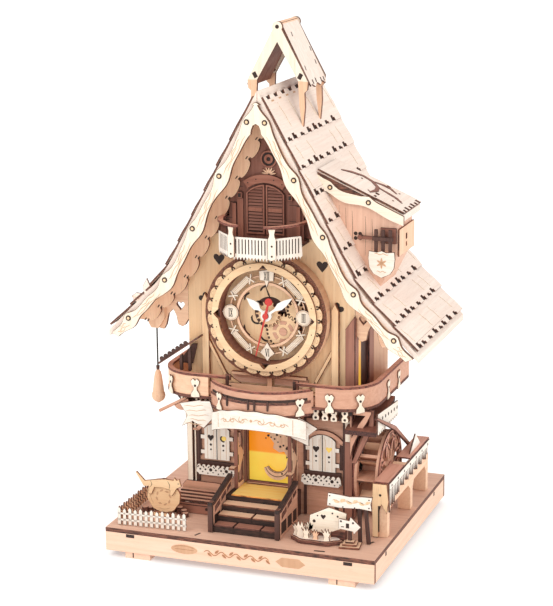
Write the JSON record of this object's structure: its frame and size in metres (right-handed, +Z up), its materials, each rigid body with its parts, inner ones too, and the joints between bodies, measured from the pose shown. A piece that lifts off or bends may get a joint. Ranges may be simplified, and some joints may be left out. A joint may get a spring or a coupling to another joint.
{
  "type": "wooden 3d jigsaw model",
  "caption": "Laser-cut plywood clock house on a base: steep roof, dial with hands and gears, balcony, porch steps, water wheel and a corded light pull.",
  "frame": {"origin": "middle of the footprint, on the surface that the two foot rails stand on", "axes": "+X to the right seen from the front, +Y from the front into the depth, +Z up"},
  "size_m": [0.243, 0.194, 0.3924],
  "materials": {
    "cream_ply": "pale birch plywood, satin",
    "blush_ply": "pinkish pale plywood, matte",
    "tan_ply": "tan stained plywood, satin",
    "walnut_ply": "walnut stained plywood, satin",
    "dark_ply": "dark stained plywood, matte",
    "white_ply": "whitewashed plywood, matte",
    "amber_panel": "translucent, lit from behind",
    "white_hands": "matte white",
    "red_hand": "satin red",
    "black_plastic": "moulded",
    "steel_axle": "drawn rod",
    "dark_cord": "twisted waxed cord"
  },
  "bodies": {
    "house": {"base_deck": "tan_ply", "base_front_panel": "cream_ply", "base_rear_panel": "cream_ply", "base_left_panel": "cream_ply", "base_right_panel": "cream_ply", "foot_rail_left": "cream_ply", "foot_rail_right": "cream_ply", "ground_front_wall": "tan_ply", "ground_left_wall": "tan_ply", "ground_right_wall": "tan_ply", "rear_wall": "tan_ply", "porch_left_jamb": "tan_ply", "porch_right_jamb": "tan_ply", "porch_steps": "dark_ply", "stair_left_rail": "dark_ply", "stair_right_rail": "dark_ply", "door_light_panel": "amber_panel", "tree_moon_screen": "tan_ply", "light_module": "black_plastic", "left_window_shutters": "white_ply", "right_window_shutters": "white_ply", "welcome_banner": "white_ply", "balcony_deck": "walnut_ply", "balcony_front_railing": "walnut_ply", "balcony_left_railing": "walnut_ply", "balcony_right_railing": "walnut_ply", "upper_front_wall": "tan_ply", "upper_left_wall": "tan_ply", "upper_right_wall": "tan_ply", "clock_drum": "tan_ply", "clock_bezel": "cream_ply", "clock_dial": "cream_ply", "clock_movement": "black_plastic", "cuckoo_door_frame": "walnut_ply", "cuckoo_balcony_floor": "walnut_ply", "cuckoo_balcony_railing": "white_ply", "front_gable_boards": "cream_ply", "rear_gable_boards": "cream_ply", "roof_left_slope": "blush_ply", "roof_right_slope": "blush_ply", "dormer_walls": "tan_ply", "dormer_roof": "blush_ply", "turret_front_frame": "tan_ply", "turret_rear_frame": "tan_ply", "turret_roof": "blush_ply", "wheel_axle": "steel_axle", "flume": "tan_ply", "water_chute": "dark_ply", "picket_fence": "white_ply", "pull_housing": "tan_ply"},
    "gear_large": {"clock_gear_large": "tan_ply"},
    "gear_small": {"clock_gear_small": "tan_ply"},
    "hour": {"hour_hand": "white_hands"},
    "minute": {"minute_hand": "white_hands"},
    "second": {"second_hand": "red_hand"},
    "left_leaf": {"cuckoo_left_door": "walnut_ply"},
    "right_leaf": {"cuckoo_right_door": "walnut_ply"},
    "wheel": {"water_wheel": "tan_ply"},
    "pull": {"pull_cord": "dark_cord", "pull_weight": "tan_ply"}
  },
  "joints": [
    {"name": "minute_turn", "type": "hinge", "parent": "house", "child": "minute", "pos_m": [0, -0.0304, 0.178], "axis": [0, 1, 0], "continuous": true},
    {"name": "hour_turn", "type": "hinge", "parent": "house", "child": "hour", "pos_m": [0, -0.0289, 0.178], "axis": [0, 1, 0], "continuous": true},
    {"name": "second_turn", "type": "hinge", "parent": "house", "child": "second", "pos_m": [0, -0.032, 0.178], "axis": [0, 1, 0], "continuous": true},
    {"name": "large_gear_turn", "type": "hinge", "parent": "house", "child": "gear_large", "pos_m": [0.011, -0.0223, 0.165], "axis": [0, 1, 0], "continuous": true},
    {"name": "small_gear_turn", "type": "hinge", "parent": "house", "child": "gear_small", "pos_m": [0.02075, -0.0223, 0.18189], "axis": [0, 1, 0], "continuous": true},
    {"name": "left_door_hinge", "type": "hinge", "parent": "house", "child": "left_leaf", "pos_m": [-0.0152, -0.029, 0.2395], "axis": [0, 0, -1], "range_deg": [0, 95]},
    {"name": "right_door_hinge", "type": "hinge", "parent": "house", "child": "right_leaf", "pos_m": [0.0152, -0.029, 0.2395], "axis": [0, 0, 1], "range_deg": [0, 95]},
    {"name": "water_wheel_spin", "type": "hinge", "parent": "house", "child": "wheel", "pos_m": [0.0785, -0.002, 0.058], "axis": [1, 0, 0], "continuous": true},
    {"name": "light_pull", "type": "slide", "parent": "house", "child": "pull", "axis": [0, 0, -1], "range_m": [0, 0.008], "stiffness_N_per_m": 60}
  ],
  "couplings": [
    {"joint": "hour_turn", "follows": "minute_turn", "ratio": 0.083333},
    {"joint": "second_turn", "follows": "minute_turn", "ratio": 60},
    {"joint": "small_gear_turn", "follows": "large_gear_turn", "ratio": -2}
  ]
}
